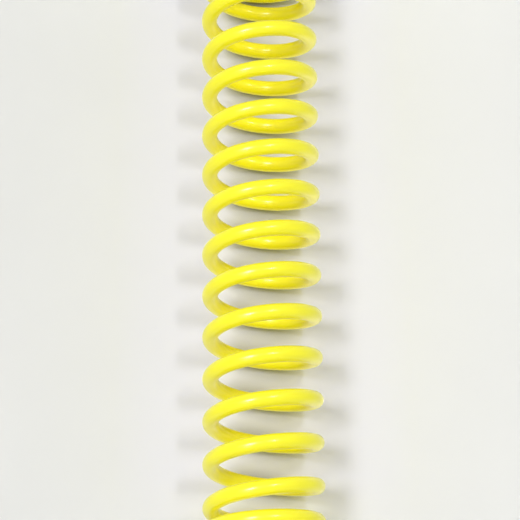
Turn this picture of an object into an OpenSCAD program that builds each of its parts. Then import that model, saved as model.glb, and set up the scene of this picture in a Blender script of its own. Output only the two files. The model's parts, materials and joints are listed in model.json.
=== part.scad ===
// Tensioner spring: a right-hand compression spring of coated round wire.
// It stands on its lower ground end, with the coil's axis on Z and the origin
// at the middle of that seat. Sizes are in millimetres.

/* [Wire] */
// Thickness of the wire over its coat
wire_d = 4; // [3:0.1:5]

/* [Coil] */
// Diameter over the outside of the coil
outer_d = 30; // [24:0.5:40]
// Height from one ground end to the other, with no load
free_length = 150; // [120:1:200]
// Turns from one wire tip to the other
total_turns = 15.75; // [12:0.25:18]

/* [Closed and ground ends] */
// Turns at each end that lie flat against their neighbour
closed_turns = 1; // [0.75:0.05:1.25]
// Turns over which the coil opens from the closed end to its full pitch
lead_turns = 0.6; // [0.4:0.05:1]
// Space between a closed end turn and the next turn
end_gap = 0.2; // [0.1:0.05:0.5]
// What grinding leaves of the wire at its tip
tip_thickness = 1; // [0.6:0.1:1.8]

/* [Hidden] */
// Flats round the wire, and sections along each turn
wire_sides = 12;
turn_steps = 24;

coil_r = (outer_d - wire_d) / 2;
closed_pitch = wire_d + end_gap;
// Height of the wire's middle at its tip: under the seat, until it is ground
tip_z = tip_thickness - wire_d / 2;
open_turns = total_turns - 2 * closed_turns - lead_turns;
pitch = closed_pitch
    + (free_length - 2 * tip_z - closed_pitch * total_turns) / open_turns;
sections = round(total_turns * turn_steps);

// How far the coil has opened, 0 to 1, after so many turns from a tip
function opening(turns) =
    let (u = min(max((turns - closed_turns) / lead_turns, 0), 1))
    u * u * (3 - 2 * u);

// The same summed over the turns before
function opened_turns(turns) =
    let (u = max((turns - closed_turns) / lead_turns, 0))
    lead_turns * (u < 1 ? pow(u, 3) - pow(u, 4) / 2 : u - 1 / 2);

// Height of the wire's middle above the nearer seat
function climb(turns) =
    tip_z + closed_pitch * turns + (pitch - closed_pitch) * opened_turns(turns);

// Height of the wire's middle above the lower seat
function middle_z(turns) =
    turns < total_turns / 2
    ? climb(turns)
    : free_length - climb(total_turns - turns);

// Angle at which the wire climbs
function lead_angle(turns) =
    let (share = opening(min(turns, total_turns - turns)))
    atan((closed_pitch + (pitch - closed_pitch) * share) / (2 * PI * coil_r));

// One section of the wire, square to its path
function wire_section(turns) =
    let (
        a = 360 * turns,
        lead = lead_angle(turns),
        out = [cos(a), sin(a), 0],
        up = [sin(a) * sin(lead), -cos(a) * sin(lead), cos(lead)],
        middle = [coil_r * cos(a), coil_r * sin(a), middle_z(turns)]
    )
    [for (i = [0 : wire_sides - 1])
        let (b = 360 * i / wire_sides)
        middle + wire_d / 2 * (cos(b) * out + sin(b) * up)];

// The wire as it is wound, before its ends are ground
module wound_wire() {
    points = [for (s = [0 : sections]) each wire_section(s * total_turns / sections)];
    function corner(s, i) = s * wire_sides + i % wire_sides;
    first_tip = [for (i = [0 : wire_sides - 1]) corner(0, i)];
    last_tip = [for (i = [wire_sides - 1 : -1 : 0]) corner(sections, i)];
    sides = [for (s = [0 : sections - 1], i = [0 : wire_sides - 1])
        each [
            [corner(s, i), corner(s + 1, i), corner(s + 1, i + 1)],
            [corner(s, i), corner(s + 1, i + 1), corner(s, i + 1)]
        ]];
    polyhedron(points, concat([first_tip, last_tip], sides), convexity = 20);
}

// All that stands between the two ground faces
module ground_length() {
    translate([-outer_d, -outer_d, 0])
        cube([2 * outer_d, 2 * outer_d, free_length]);
}

module coil_spring() {
    color("gold")
        intersection() {
            wound_wire();
            ground_length();
        }
}

coil_spring();
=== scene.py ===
# %% [markdown]
# # A tensioner spring from one rule
#
# The real spring is a single length of steel wire. It is wound into an open coil, ground flat at both
# ends and coated in yellow, and nothing is bolted or welded to it. So this lesson makes one piece, the
# coated wire. Its whole shape follows a rule, which is what Geometry Nodes are good at.
#
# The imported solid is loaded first. It says where the spring stands and how large it is, and it stays
# the model that rests and collides. The wire made below only takes its place in the picture.

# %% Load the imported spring
import json
import math

import bmesh
import bpy
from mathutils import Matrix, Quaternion, Vector


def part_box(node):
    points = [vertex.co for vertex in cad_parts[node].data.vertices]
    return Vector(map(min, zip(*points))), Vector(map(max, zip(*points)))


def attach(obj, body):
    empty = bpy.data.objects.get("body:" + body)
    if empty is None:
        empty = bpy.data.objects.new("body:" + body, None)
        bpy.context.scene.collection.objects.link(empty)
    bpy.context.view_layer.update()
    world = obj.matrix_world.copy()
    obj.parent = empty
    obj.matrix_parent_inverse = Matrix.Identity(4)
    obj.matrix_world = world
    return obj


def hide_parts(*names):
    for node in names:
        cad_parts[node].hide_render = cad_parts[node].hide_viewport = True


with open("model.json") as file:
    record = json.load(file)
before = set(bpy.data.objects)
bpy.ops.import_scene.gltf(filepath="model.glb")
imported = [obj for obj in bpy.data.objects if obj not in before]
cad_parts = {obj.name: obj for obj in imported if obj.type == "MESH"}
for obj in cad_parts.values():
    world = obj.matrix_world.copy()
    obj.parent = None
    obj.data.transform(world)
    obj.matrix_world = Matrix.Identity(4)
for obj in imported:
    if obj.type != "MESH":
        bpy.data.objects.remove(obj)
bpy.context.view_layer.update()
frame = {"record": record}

# %% [markdown]
# ## The sizes that a spring maker asks for
#
# A compression spring is ordered by its wire, its outside diameter, its free length, its turns and its
# ends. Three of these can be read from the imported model: the box gives the diameter and the length, and
# the bore inside the coil then gives the wire. The others are written here once, in the words of the
# trade: closed turns lie against their neighbour, the lead opens the coil to its full pitch, and
# grinding leaves a thin tip.

# %% Sizes of the wire and the coil
MM = 0.001

low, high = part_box("coil_spring")
bore = next(mount for mount in frame["record"]["mounts"] if mount["name"] == "guide_bore")
outer_diameter = high.x - low.x
free_length = high.z - low.z
wire_diameter = outer_diameter / 2 - bore["dims"]["r_mm"] * MM

total_turns = 15.75
closed_turns = 1.0
lead_turns = 0.6
end_gap = 0.2 * MM
tip_thickness = 1.0 * MM
# The coat rounds every ground edge, and its thickness wanders a little along the wire.
edge_round = 0.3 * MM
coat_wave = 0.015 * MM

print(f"wire {wire_diameter / MM:.2f} mm, coil {outer_diameter / MM:.1f} mm across")
print(f"free length {free_length / MM:.1f} mm")

# %% [markdown]
# ## Small helpers for node trees
#
# Materials, the sky and the winding are all node trees, and each tree is built by the same few moves:
# add a node, link or set its inputs, add a noise, bring a value into a range, mix two colours. Written
# once as helpers, they keep the cells below short, so that the reader sees the idea and not the
# plumbing.

# %% Helpers for node trees
def add_node(tree, kind, inputs=None, **settings):
    """Adds a node, sets its properties, and links or sets its inputs."""
    node = tree.nodes.new(kind)
    for name, value in settings.items():
        setattr(node, name, value)
    for name, value in (inputs or {}).items():
        if isinstance(value, bpy.types.NodeSocket):
            tree.links.new(value, node.inputs[name])
        else:
            node.inputs[name].default_value = value
    return node


def new_material(name):
    """An empty node material and its output node."""
    material = bpy.data.materials.new(name)
    material.use_nodes = True
    material.node_tree.nodes.clear()
    return material, material.node_tree.nodes.new("ShaderNodeOutputMaterial")


def noise(tree, place, size, detail=2.0):
    """A noise whose patches are about this many metres across, from 0 to 1."""
    inputs = {"Vector": place, "Scale": 1 / size, "Detail": detail}
    return add_node(tree, "ShaderNodeTexNoise", inputs).outputs["Fac"]


def spread(tree, value, low, high, start=0.0, end=1.0):
    """Maps a value that runs from start to end on to low to high."""
    inputs = {"Value": value, "From Min": start, "From Max": end, "To Min": low, "To Max": high}
    return add_node(tree, "ShaderNodeMapRange", inputs).outputs["Result"]


def blend_colours(tree, share, first, second):
    """Mixes two colours."""
    node = add_node(tree, "ShaderNodeMix", {"Factor": share}, data_type="RGBA")
    for socket, colour in ((node.inputs[6], first), (node.inputs[7], second)):
        if isinstance(colour, bpy.types.NodeSocket):
            tree.links.new(colour, socket)
        else:
            socket.default_value = (*colour, 1.0)
    return node.outputs[2]


print("helpers ready: add_node, new_material, noise, spread, blend_colours")

# %% [markdown]
# ## The finish: a semi-gloss yellow coat
#
# On the real spring the steel is hidden under a baked coat of bright yellow. It could be one flat
# colour, but that looks like a toy. A baked coat flows before it sets, so its surface has a faint
# orange peel. Inside the coil the yellow is painted a little deeper: that is painted shade, standing in
# for the shade and the yellow light bounced between the turns there. All of this follows the place on
# the spring, so it is made from Object coordinates, which stay with the wire in every view.
#
# Two layers give the gloss: the coloured film, which is a little rough, and a smoother skin on top of
# it, which is what the Principled shader calls its coat. The film gives the wide sheen and the skin the
# small highlights.

# %% Yellow coat
# The outer yellow, a deeper yellow that is painted shade inside the coil, and a paler yellow for random
# patches.
OUTER_YELLOW = (0.97, 0.91, 0.008)
INSIDE_SHADE_YELLOW = (0.96, 0.855, 0.006)
PALE_YELLOW = (0.975, 0.92, 0.012)


def yellow_coat():
    """Baked yellow coat, with painted shade as a deeper yellow inside the coil, and a faint orange peel."""
    material, output = new_material("baked_yellow")
    tree = material.node_tree
    place = tree.nodes.new("ShaderNodeTexCoord").outputs["Object"]

    flat_place = add_node(tree, "ShaderNodeVectorMath", operation="MULTIPLY")
    tree.links.new(place, flat_place.inputs[0])
    flat_place.inputs[1].default_value = (1.0, 1.0, 0.0)
    from_axis = add_node(tree, "ShaderNodeVectorMath", operation="LENGTH")
    tree.links.new(flat_place.outputs["Vector"], from_axis.inputs[0])
    inner = outer_diameter / 2 - wire_diameter
    # Painted shade: the colour turns to the deeper yellow towards the inside of the coil, where shade and
    # yellow bounce light fall.
    inside = spread(tree, from_axis.outputs["Value"], 0.7, 0.0, inner, outer_diameter / 2)

    film = blend_colours(tree, inside, OUTER_YELLOW, INSIDE_SHADE_YELLOW)
    patches = spread(tree, noise(tree, place, 12 * MM), 0.0, 0.3, 0.35, 0.75)
    colour = blend_colours(tree, patches, film, PALE_YELLOW)

    gloss = spread(tree, noise(tree, place, 3 * MM), 0.28, 0.30, 0.3, 0.7)
    peel = add_node(tree, "ShaderNodeBump", {
        "Height": noise(tree, place, 1.6 * MM), "Strength": 0.06, "Distance": 0.03 * MM})

    shader = add_node(tree, "ShaderNodeBsdfPrincipled", {
        "Base Color": colour, "Roughness": gloss, "Normal": peel.outputs["Normal"],
        "IOR": 1.5, "Coat Weight": 0.45, "Coat Roughness": 0.2, "Coat IOR": 1.5})
    tree.links.new(shader.outputs["BSDF"], output.inputs["Surface"])
    return material


coat = yellow_coat()
print("finish:", coat.name, "with", len(coat.node_tree.nodes), "nodes")

# %% [markdown]
# ## Formulas in a node tree
#
# A coil could be a curve with a bevel, or the Screw modifier on a circle. Both end in a bare cut tube,
# and this spring has closed, ground ends, which need the section of the wire to change along its
# length. So a flat grid is rolled into a tube and wound into the coil by a formula for each of its
# points.
#
# Formulas are hard to read as long chains of Math nodes. The small class below lets Python's own plus
# and times add those nodes, so that the cells after it read like the rule they stand for.

# %% A field that can be reckoned with
class Field:
    """A socket of the winding tree that can be used like a number in a formula."""

    def __init__(self, socket):
        self.socket = socket

    def __add__(self, other):
        return calc("ADD", self, other)

    def __sub__(self, other):
        return calc("SUBTRACT", self, other)

    def __rsub__(self, other):
        return calc("SUBTRACT", other, self)

    def __mul__(self, other):
        return calc("MULTIPLY", self, other)

    def __truediv__(self, other):
        return calc("DIVIDE", self, other)

    __radd__ = __add__
    __rmul__ = __mul__


winding = bpy.data.node_groups.new("wound_wire", "GeometryNodeTree")


def feed(socket, value):
    """Links a field to a socket, or sets the socket to a plain value."""
    if isinstance(value, Field):
        winding.links.new(value.socket, socket)
    else:
        socket.default_value = value


def calc(operation, *values):
    """Adds one Math node to the winding tree and returns its result."""
    node = winding.nodes.new("ShaderNodeMath")
    node.operation = operation
    for socket, value in zip(node.inputs, values):
        feed(socket, value)
    return Field(node.outputs[0])


def least(a, b):
    return calc("MINIMUM", a, b)


def most(a, b):
    return calc("MAXIMUM", a, b)


def within_one(value):
    return least(most(value, 0.0), 1.0)


def cosine(angle):
    return calc("COSINE", angle)


def sine(angle):
    return calc("SINE", angle)


def choose(test, if_true, if_false):
    """One of two fields, where test is 1 or 0."""
    return if_false + (if_true - if_false) * test


print("the winding tree is empty:", len(winding.nodes), "nodes")

# %% [markdown]
# ## Named inputs
#
# Every size becomes an input of the tree, so that the spring can be changed from the modifier later.
# The two counts say how fine the mesh is. Ninety-six rings in a turn and forty-eight points round the
# wire leave no visible corner, and stay under two hundred thousand triangles.

# %% Inputs of the winding tree
RINGS_PER_TURN = 96
POINTS_AROUND = 48
# Rings that round the edge of each wire tip, after the one that closes it
EDGE_RINGS = 6

rings_along = round(total_turns * RINGS_PER_TURN) + 1 + 2 * EDGE_RINGS
input_values = {
    "Outer Diameter": outer_diameter,
    "Wire Diameter": wire_diameter,
    "Free Length": free_length,
    "Total Turns": total_turns,
    "Closed Turns": closed_turns,
    "Lead Turns": lead_turns,
    "End Gap": end_gap,
    "Tip Thickness": tip_thickness,
    "Edge Round": edge_round,
    "Coat Wave": coat_wave,
    "Rings Along": rings_along,
    "Points Around": POINTS_AROUND,
    "Coat": coat,
}
socket_kinds = {float: "NodeSocketFloat", int: "NodeSocketInt", bpy.types.Material: "NodeSocketMaterial"}
identifiers = {}
for name, value in input_values.items():
    kind = socket_kinds[type(value)]
    identifiers[name] = winding.interface.new_socket(name, in_out="INPUT", socket_type=kind).identifier
winding.interface.new_socket("Geometry", in_out="OUTPUT", socket_type="NodeSocketGeometry")

given = winding.nodes.new("NodeGroupInput").outputs
coil_d = Field(given["Outer Diameter"])
wire_d = Field(given["Wire Diameter"])
length = Field(given["Free Length"])
turns = Field(given["Total Turns"])
closed = Field(given["Closed Turns"])
lead = Field(given["Lead Turns"])
rounding = Field(given["Edge Round"])
rings = Field(given["Rings Along"])
points = Field(given["Points Around"])
print("inputs:", ", ".join(identifiers))

# %% [markdown]
# ## From the grid to a place along the wire
#
# One side of the grid counts rings along the wire, and the other goes once round it. The first and last
# few rings round the edge of the wire's cut tip: they step in along a quarter circle, and the very last
# one shrinks to a point, which closes the tube. Between them the rings are even steps of the winding.

# %% Ring, turn and angle
sheet = winding.nodes.new("GeometryNodeMeshGrid")
for name, value in {"Size X": 1.0, "Size Y": 1.0, "Vertices X": rings, "Vertices Y": points + 1}.items():
    feed(sheet.inputs[name], value)
on_sheet = winding.nodes.new("ShaderNodeSeparateXYZ")
winding.links.new(winding.nodes.new("GeometryNodeInputPosition").outputs["Position"], on_sheet.inputs[0])
ring = (Field(on_sheet.outputs["X"]) + 0.5) * (rings - 1)
around = (Field(on_sheet.outputs["Y"]) + 0.5) * math.tau

radius = wire_d / 2
coil_radius = (coil_d - wire_d) / 2
last_ring = rings - 1
ring_from_tip = least(ring, last_ring - ring)
is_upper = calc("GREATER_THAN", ring, last_ring / 2)
is_wall = calc("GREATER_THAN", ring_from_tip, 0.5)

edge_angle = within_one((ring_from_tip - 1) / (EDGE_RINGS - 1)) * (math.pi / 2)
edge_turns = rounding / (coil_radius * math.tau)
tip_step = edge_turns * (1 - cosine(edge_angle))
even_share = within_one((ring - EDGE_RINGS) / (last_ring - 2 * EDGE_RINGS))
turn = (turns - 2 * edge_turns) * even_share + choose(is_upper, 2 * edge_turns - tip_step, tip_step)
print("rings along the wire:", rings_along)

# %% [markdown]
# ## How the wire climbs
#
# From each tip the wire first climbs by no more than its own thickness a turn, which closes the end.
# Over the lead it eases to the full pitch with the smooth curve 3u² − 2u³, and the height is that curve
# summed up. Both ends are alike, so one formula counts from whichever tip is nearer, and the upper half
# is turned over.

# %% Height and slope of the wire
closed_pitch = wire_d + Field(given["End Gap"])
tip_height = Field(given["Tip Thickness"]) - radius
pitch = closed_pitch + (length - 2 * tip_height - closed_pitch * turns) / (turns - 2 * closed - lead)

turn_from_tip = least(turn, turns - turn)
into_lead = (turn_from_tip - closed) / lead
eased = within_one(into_lead)
opened_share = eased * eased * (3 - 2 * eased)
opened_turns = lead * (eased * eased * eased * (1 - eased / 2) + most(into_lead - 1, 0.0))

height = tip_height + closed_pitch * turn_from_tip + (pitch - closed_pitch) * opened_turns
slope = calc("ARCTANGENT", (closed_pitch + (pitch - closed_pitch) * opened_share) / (coil_radius * math.tau))
# The height measured in the plane of the section, which leans with the wire
height_in_section = height / cosine(slope)
print("one formula serves both ends")

# %% [markdown]
# ## The section, and what grinding takes away
#
# A section is a circle until the seat cuts it. Where less than half the wire is left, the upper points
# are spread over the arc that remains and the lower ones over the flat. The corner between them isn't
# sharp on a coated spring, so the height over the seat goes through a soft maximum, which rounds it.

# %% Section of the wire
half_sign = choose(is_upper, -1.0, 1.0 + 0 * is_upper)
away = half_sign * sine(around)
across = cosine(around)

cut_angle = calc("ARCSINE", within_one((0 - height_in_section) / radius))
arc_angle = cut_angle + calc("ARCTAN2", most(away, 0.0), across) * (1 - cut_angle * (2 / math.pi))
on_arc = calc("GREATER_THAN", away, -1e-6)
half_width = radius * cosine(cut_angle)
section_out = choose(on_arc, radius * cosine(arc_angle), half_width * across)
section_up = choose(on_arc, radius * sine(arc_angle), radius * away + most(0 - height_in_section, 0.0))

over_seat = section_up + height_in_section
soft_over_seat = (over_seat + calc("SQRT", over_seat * over_seat + rounding * rounding)) / 2
section_up = soft_over_seat - height_in_section
print("section made, from full wire to thin tip")

# %% [markdown]
# ## Rounded tips, and the winding itself
#
# At the tips the section shrinks towards its own middle. Then each point is carried out to the coil's
# radius, lifted to its height, leaned by the slope and turned about the axis, all in one Vector Rotate.
#
# The second Set Position pushes the surface in by about a hundredth of a millimetre in slow waves, as on
# a coat that ran a little before it set. It only goes inwards, so that the spring keeps its size.

# %% Wind the wire and close the mesh
lowest = most(0 - radius, 0 - height_in_section)
middle = (radius + lowest) / 2
half_height = (radius - lowest) / 2
inset = rounding * (1 - sine(edge_angle))
out = coil_radius + section_out * (1 - inset / half_width) * is_wall
up = half_sign * (middle + (section_up - middle) * (1 - inset / half_height) * is_wall)
middle_height = is_upper * length + half_sign * height

in_section = winding.nodes.new("ShaderNodeCombineXYZ")
feed(in_section.inputs["X"], out)
feed(in_section.inputs["Y"], 0 - up * sine(slope))
feed(in_section.inputs["Z"], middle_height + up * cosine(slope))
wound = winding.nodes.new("ShaderNodeVectorRotate")
wound.rotation_type = "Z_AXIS"
winding.links.new(in_section.outputs["Vector"], wound.inputs["Vector"])
feed(wound.inputs["Angle"], turn * math.tau)

ripple = add_node(winding, "ShaderNodeTexNoise", {"Scale": 1 / (7 * MM), "Detail": 1.0})
inwards = (Field(ripple.outputs["Fac"]) - 1) * Field(given["Coat Wave"])
push = add_node(winding, "ShaderNodeVectorMath", operation="SCALE")
winding.links.new(winding.nodes.new("GeometryNodeInputNormal").outputs["Normal"], push.inputs["Vector"])
feed(push.inputs["Scale"], inwards)

steps = [
    add_node(winding, "GeometryNodeSetPosition", {"Position": wound.outputs["Vector"]}),
    add_node(winding, "GeometryNodeMergeByDistance", {"Distance": 1e-6}),
    add_node(winding, "GeometryNodeSetPosition", {"Offset": push.outputs["Vector"]}),
    add_node(winding, "GeometryNodeSetShadeSmooth"),
    add_node(winding, "GeometryNodeRealizeInstances"),
    add_node(winding, "GeometryNodeSetMaterial", {"Material": given["Coat"]}),
    winding.nodes.new("NodeGroupOutput"),
]
geometry = sheet.outputs["Mesh"]
for step in steps:
    winding.links.new(geometry, step.inputs[0])
    geometry = step.outputs[0] if step.outputs else None
print("winding tree:", len(winding.nodes), "nodes")

# %% [markdown]
# ## From modifier to plain mesh
#
# The tree runs once, on an empty object, and its result is kept as an ordinary mesh, the same one that
# the render shows. A closed mesh whose faces point outwards has a positive volume, so the volume is a
# quick test that nothing is inside out or open.

# %% The coated wire
wire = bpy.data.objects.new("coated_wire", bpy.data.meshes.new("empty"))
bpy.context.scene.collection.objects.link(wire)
modifier = wire.modifiers.new("winding", "NODES")
modifier.node_group = winding
for name, value in input_values.items():
    modifier[identifiers[name]] = value

evaluated = wire.evaluated_get(bpy.context.evaluated_depsgraph_get())
mesh = bpy.data.meshes.new_from_object(evaluated)
mesh.name = "coated_wire"
wire.modifiers.clear()
wire.data = mesh

measured = bmesh.new()
measured.from_mesh(mesh)
open_edges = sum(1 for edge in measured.edges if not edge.is_manifold)
volume = measured.calc_volume(signed=True) * 1e6
print(f"wire: {len(mesh.polygons)} faces, {open_edges} open edges, {volume:.3f} cm3")
measured.free()

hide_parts("coil_spring")
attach(wire, "root")
print("dressed:", wire.name, "takes the place of coil_spring")

# %% [markdown]
# ## Pale paper, and a background that stays even
#
# A pale background could be made by pouring light on the floor, but that would wash out the yellow too.
# So the background has a colour of its own, which only the camera and the reflections see. Light Path
# tells those rays apart from the ones that carry light, and the same test serves the floor and the sky.

# %% Paper and background
PALE = (0.72, 0.722, 0.706)
BACKGROUND = (0.84, 0.84, 0.82)


def seen_directly(tree):
    """1 for rays from the camera, and for those that reach it by a reflection or through glass."""
    path = tree.nodes.new("ShaderNodeLightPath").outputs
    reflected = add_node(tree, "ShaderNodeMath", {0: path["Is Glossy Ray"], 1: path["Is Transmission Ray"]},
                         operation="MAXIMUM")
    return add_node(tree, "ShaderNodeMath", {0: path["Is Camera Ray"], 1: reflected.outputs[0]},
                    operation="MAXIMUM").outputs[0]


def times(tree, first, second):
    """The product of two values."""
    return add_node(tree, "ShaderNodeMath", {0: first, 1: second}, operation="MULTIPLY").outputs[0]


def faint_mottle(tree, place):
    """The colour of plain paper, with patches that are a trace darker."""
    share = spread(tree, noise(tree, place, 25 * MM), 0.0, 1.0, 0.3, 0.7)
    return blend_colours(tree, share, PALE, tuple(v * 0.985 for v in PALE))


print("paper", PALE, "and background", BACKGROUND)

# %% [markdown]
# ## The floor's paper
#
# Close to the spring the paper itself still shows, so that the floor keeps the spring's shadow. Farther
# out it turns into the background colour, as a paper sweep in a studio does, and no horizon is left to
# see.

# %% Floor paper
def floor_paper():
    """Matt paper that fades into the background with the distance from the spring's foot."""
    material, output = new_material("floor_paper")
    tree = material.node_tree
    place = tree.nodes.new("ShaderNodeTexCoord").outputs["Object"]
    paper = add_node(tree, "ShaderNodeBsdfDiffuse", {"Color": faint_mottle(tree, place)})
    even = add_node(tree, "ShaderNodeEmission", {"Color": (*BACKGROUND, 1.0), "Strength": 1.0})
    from_foot = add_node(tree, "ShaderNodeVectorMath", {0: place}, operation="LENGTH").outputs["Value"]
    share = times(tree, seen_directly(tree), spread(tree, from_foot, 0.55, 1.0, 40 * MM, 450 * MM))
    mixed = add_node(tree, "ShaderNodeMixShader", {0: share, 1: paper.outputs[0], 2: even.outputs[0]})
    tree.links.new(mixed.outputs[0], output.inputs["Surface"])
    return material


floor_finish = floor_paper()
print("floor finish:", len(floor_finish.node_tree.nodes), "nodes")

# %% [markdown]
# ## The board's paper
#
# The board close behind the coil catches the soft shadows of the turns, which is half of what makes an
# open coil easy to read. Three things are painted into its paper. Yellow light from the wire tints it more
# than real paper shows, so its colour is painted a little bluer behind the coil to cancel part of that
# bounce light. It is painted a trace brighter towards one side, which is painted light. And where the
# wire nearly touches it, the Ambient Occlusion node darkens the paper into a painted contact shadow,
# because soft light leaves that narrow line too pale.
#
# The board is one-sided: from behind, a camera looks through it, so that it never hides the spring.

# %% Board paper
# Painted against light: a bluer paper colour behind the coil cancels part of the yellow light bounced on to
# it.
COOL = (0.715, 0.710, 0.835)


def board_paper():
    """Matt paper with painted light and shade: bluer behind the coil against yellow bounce light, brighter
    to one side, a contact shadow near the wire; clear from behind.
    """
    material, output = new_material("board_paper")
    tree = material.node_tree
    place = tree.nodes.new("ShaderNodeTexCoord").outputs["Object"]
    along = add_node(tree, "ShaderNodeSeparateXYZ", {0: place}).outputs

    from_middle = add_node(tree, "ShaderNodeMath", {0: along["Y"]}, operation="ABSOLUTE").outputs[0]
    beside = spread(tree, from_middle, 1.0, 0.0, 12 * MM, 38 * MM)
    below_top = spread(tree, along["Z"], 1.0, 0.0, free_length - 18 * MM, free_length + 4 * MM)
    colour = blend_colours(tree, times(tree, beside, below_top), faint_mottle(tree, place), COOL)

    # Painted light and shade: the paper is painted a trace brighter towards one side, and darker as a
    # contact shadow where Ambient Occlusion finds the wire close.
    painted_light_slope = spread(tree, along["Y"], 1.055, 0.985, -60 * MM, 60 * MM)
    open_share = add_node(tree, "ShaderNodeAmbientOcclusion", {"Distance": 4 * MM}).outputs["AO"]
    painted_light_and_shade = times(tree, painted_light_slope, spread(tree, open_share, 0.3, 1.0, 0.2, 0.95))
    scaled = add_node(tree, "ShaderNodeVectorMath", {0: colour, "Scale": painted_light_and_shade}, operation="SCALE")
    paper = add_node(tree, "ShaderNodeBsdfDiffuse", {"Color": scaled.outputs["Vector"]})

    from_behind = tree.nodes.new("ShaderNodeNewGeometry").outputs["Backfacing"]
    clear = tree.nodes.new("ShaderNodeBsdfTransparent")
    mixed = add_node(tree, "ShaderNodeMixShader", {0: from_behind, 1: paper.outputs[0], 2: clear.outputs[0]})
    tree.links.new(mixed.outputs[0], output.inputs["Surface"])
    return material


board_finish = board_paper()
print("board finish:", len(board_finish.node_tree.nodes), "nodes")

# %% [markdown]
# ## Floor and board
#
# Both are single rectangles. They take the spring's shadow but cast none, so that a lamp behind the
# board, or one whose lower edge is under the floor, still reaches the wire.

# %% Floor and board
def flat_sheet(name, corners, material):
    """A single rectangle that belongs to the stage."""
    made = bpy.data.meshes.new(name)
    made.from_pydata(corners, [], [(0, 1, 2, 3)])
    made.materials.append(material)
    thing = bpy.data.objects.new(name, made)
    bpy.context.scene.collection.objects.link(thing)
    return thing


FLOOR_REACH = 1.2
BOARD_REACH = 0.16
BOARD_HEIGHT = 0.26
BOARD_GAP = 0.8 * MM
board_x = low.x - BOARD_GAP

floor = flat_sheet("floor", [
    (-FLOOR_REACH, -FLOOR_REACH, 0), (FLOOR_REACH, -FLOOR_REACH, 0),
    (FLOOR_REACH, FLOOR_REACH, 0), (-FLOOR_REACH, FLOOR_REACH, 0)], floor_finish)
board = flat_sheet("board", [
    (board_x, -BOARD_REACH, 0), (board_x, BOARD_REACH, 0),
    (board_x, BOARD_REACH, BOARD_HEIGHT), (board_x, -BOARD_REACH, BOARD_HEIGHT)], board_finish)
floor.visible_shadow = False
board.visible_shadow = False
print(f"board {BOARD_GAP / MM:.1f} mm behind the coil")

# %% [markdown]
# ## Soft lamps
#
# A glossy wire shows every lamp as a highlight, so the lamps are placed by where their highlights
# should lie. The key lamp makes the shadow on the board and the brighter highlight on each turn. The
# small strip on the other side makes the second one, and a weak strip from above widens the first. A
# large lamp behind keeps the back of the spring from going dull.

# %% Lamps
scene = bpy.context.scene
scene.view_settings.view_transform = "Standard"
middle_of_coil = Vector((0.0, 0.0, free_length / 2))


def soft_lamp(name, place, width, tall, watts):
    """A rectangular lamp that faces the middle of the coil."""
    data = bpy.data.lights.new(name, "AREA")
    data.shape = "RECTANGLE"
    data.size = width
    data.size_y = tall
    data.energy = watts
    lamp = bpy.data.objects.new(name, data)
    lamp.location = place
    lamp.rotation_mode = "QUATERNION"
    lamp.rotation_quaternion = (middle_of_coil - Vector(place)).to_track_quat("-Z", "Y")
    scene.collection.objects.link(lamp)
    return lamp


soft_lamp("key_lamp", (1.20, 0.49, 0.16), 0.288, 0.432, 7.85)
soft_lamp("right_strip", (0.60, -0.22, 0.05), 0.042, 0.132, 0.86)
soft_lamp("left_strip", (0.60, 0.28, 0.49), 0.120, 0.336, 0.47)
soft_lamp("back_lamp", (-0.90, -0.50, 0.53), 0.720, 0.720, 5.57)

# %% [markdown]
# ## The sky
#
# The sky gives the rest of the light, a little more from overhead than from the horizon. With the lamps
# it comes to a plain level, at which a colour renders about as it is written. The camera sees the
# background colour instead, the same one that the floor fades into.

# %% Sky
SKY_LOW = 0.33
SKY_OVERHEAD = 0.51

sky = bpy.data.worlds.new("soft_sky")
sky.use_nodes = True
sky_tree = sky.node_tree
sky_tree.nodes.clear()
sky_place = sky_tree.nodes.new("ShaderNodeTexCoord").outputs["Generated"]
overhead = add_node(sky_tree, "ShaderNodeSeparateXYZ", {0: sky_place}).outputs["Z"]
sky_strength = spread(sky_tree, overhead, SKY_LOW, SKY_OVERHEAD)
sky_light = add_node(sky_tree, "ShaderNodeBackground", {
    "Color": (1.0, 1.0, 1.0, 1.0), "Strength": sky_strength})
sky_seen = add_node(sky_tree, "ShaderNodeBackground", {"Color": (*BACKGROUND, 1.0), "Strength": 1.0})
sky_mix = add_node(sky_tree, "ShaderNodeMixShader", {
    0: seen_directly(sky_tree), 1: sky_light.outputs[0], 2: sky_seen.outputs[0]})
sky_output = sky_tree.nodes.new("ShaderNodeOutputWorld")
sky_tree.links.new(sky_mix.outputs[0], sky_output.inputs["Surface"])
scene.world = sky
print(f"sky {SKY_LOW} at the horizon, {SKY_OVERHEAD} overhead")

# %% [markdown]
# ## The camera
#
# The picture to match looks across the coil, a little along its axis, with a long lens from about half
# a metre. The spring's foot is at the top of the picture, so the camera is turned over about its own
# axis.

# %% Camera
FRAME_PIXELS = 520
FOCAL_PIXELS = 1939.96
SENSOR_MM = 36.0
VIEW_TILT = math.radians(17.51)
VIEW_DISTANCE = 488.8 * MM
VIEW_ROLL = math.radians(180 - 0.58)
VIEW_HEIGHT = 80.23 * MM
VIEW_ASIDE = 0.377 * MM

target = Vector((0.0, VIEW_ASIDE, VIEW_HEIGHT))
towards_camera = Vector((math.cos(VIEW_TILT), 0.0, math.sin(VIEW_TILT)))
camera_data = bpy.data.cameras.new("camera")
camera_data.sensor_width = SENSOR_MM
camera_data.lens = SENSOR_MM * FOCAL_PIXELS / FRAME_PIXELS
camera = bpy.data.objects.new("camera", camera_data)
camera.location = target + towards_camera * VIEW_DISTANCE
camera.rotation_mode = "QUATERNION"
upright = (-towards_camera).to_track_quat("-Z", "Y")
camera.rotation_quaternion = upright @ Quaternion((0.0, 0.0, 1.0), VIEW_ROLL)
scene.collection.objects.link(camera)
scene.camera = camera
print(f"lens {camera_data.lens:.1f} mm, at {tuple(round(v, 3) for v in camera.location)} m")
